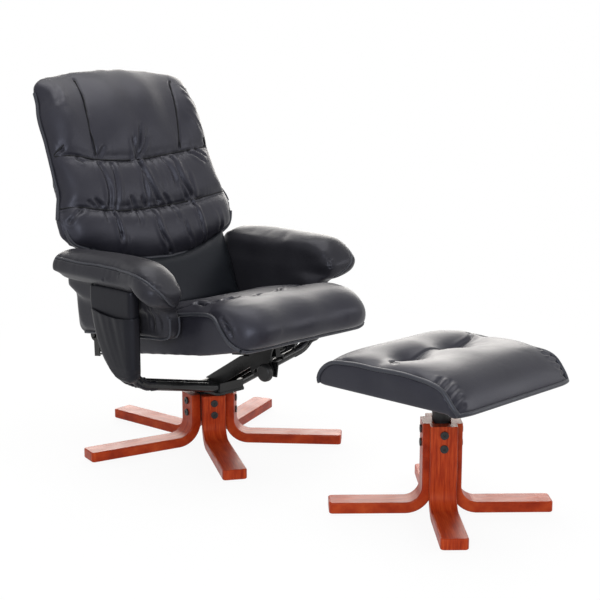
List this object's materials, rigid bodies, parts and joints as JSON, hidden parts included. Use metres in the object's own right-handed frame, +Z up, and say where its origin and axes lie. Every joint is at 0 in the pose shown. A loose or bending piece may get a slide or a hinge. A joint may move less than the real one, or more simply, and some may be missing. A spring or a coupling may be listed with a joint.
{
  "type": "recliner with footstool",
  "caption": "Black leather swivel recliner on a bent-wood star base, with a tilting back, a seat that slides with it, padded arms, a side pocket and a matching swivel footstool.",
  "frame": {"origin": "on the floor, under the middle of the box that holds the chair and the stool", "axes": "+Z up, the chair faces -Y towards the stool, and +X is the sitter's left"},
  "size_m": [0.72, 1.4539, 1],
  "materials": {
    "black_leather": "semi-gloss",
    "cherry_wood": "satin lacquer",
    "dark_hub": "stained",
    "plywood": "raw",
    "black_steel": "semi-gloss",
    "black_bolts": "satin",
    "bare_steel": "brushed",
    "black_plastic": "matte",
    "bearing_plastic": "satin"
  },
  "bodies": {
    "chair_base": {"chair_hub": "dark_hub", "chair_leg_1": "cherry_wood", "chair_leg_2": "cherry_wood", "chair_leg_3": "cherry_wood", "chair_leg_4": "cherry_wood", "chair_leg_5": "cherry_wood", "chair_leg_bolts": "black_bolts", "chair_foot_glides": "black_plastic", "chair_flanged_bush": "bearing_plastic"},
    "swivel_frame": {"chair_spindle": "black_steel", "swivel_plate": "black_steel", "swivel_plate_bolts": "black_bolts", "tube_saddle": "black_steel", "front_cross_tube": "black_steel", "rear_cross_tube": "black_steel", "front_upright_left": "black_steel", "front_upright_right": "black_steel", "rear_upright_left": "black_steel", "rear_upright_right": "black_steel", "seat_support_arm": "black_steel", "seat_rail": "black_steel", "arm_board_left": "plywood", "arm_board_right": "plywood", "arm_pad_left": "black_leather", "arm_pad_right": "black_leather", "arm_panel_left": "black_leather", "arm_panel_right": "black_leather", "arm_sleeve_left": "black_leather", "arm_sleeve_right": "black_leather", "side_pocket": "black_leather", "back_pivot_pin_left": "bare_steel", "back_pivot_pin_right": "bare_steel", "lock_rod": "bare_steel"},
    "seat": {"seat_board": "plywood", "seat_cushion": "black_leather", "seat_runner": "bearing_plastic", "lock_plate": "black_steel", "seat_hinge_bracket_left": "black_steel", "seat_hinge_bracket_right": "black_steel"},
    "back": {"back_board": "plywood", "back_cushion": "black_leather", "lumbar_panel": "black_leather", "back_cover": "black_leather", "back_cover_lower": "black_leather", "back_bracket_left": "black_steel", "back_bracket_right": "black_steel"},
    "lock_knob": {"lock_knob": "black_plastic"},
    "stool_base": {"stool_hub": "dark_hub", "stool_leg_1": "cherry_wood", "stool_leg_2": "cherry_wood", "stool_leg_3": "cherry_wood", "stool_leg_4": "cherry_wood", "stool_leg_bolts": "black_bolts", "stool_foot_glides": "black_plastic", "stool_flanged_bush": "bearing_plastic"},
    "stool_top": {"stool_column": "black_steel", "stool_top_plate": "black_steel", "stool_plate_screws": "black_bolts", "stool_board": "plywood", "stool_cushion": "black_leather"}
  },
  "joints": [
    {"name": "chair_swivel", "type": "hinge", "parent": "chair_base", "child": "swivel_frame", "pos_m": [0, 0.2802, 0.1], "axis": [0, 0, 1], "continuous": true},
    {"name": "recline", "type": "hinge", "parent": "swivel_frame", "child": "back", "pos_m": [0, 0.4652, 0.43], "axis": [-1, 0, 0], "range_deg": [0, 25]},
    {"name": "seat_slide", "type": "slide", "parent": "swivel_frame", "child": "seat", "axis": [0, -0.9903, 0.1392], "range_m": [0, 0.0566]},
    {"name": "knob_turn", "type": "hinge", "parent": "swivel_frame", "child": "lock_knob", "pos_m": [-0.05, 0.0182, 0.243], "axis": [-1, 0, 0], "range_deg": [0, 360]},
    {"name": "stool_move", "type": "slide", "parent": "chair_base", "child": "stool_base", "axis": [0, -1, 0], "range_m": [0, 0.3]},
    {"name": "stool_swivel", "type": "hinge", "parent": "stool_base", "child": "stool_top", "pos_m": [0, -0.5118, 0.2], "axis": [0, 0, 1], "continuous": true}
  ],
  "couplings": [
    {"joint": "seat_slide", "follows": "recline", "m_per_rad": 0.12897}
  ]
}
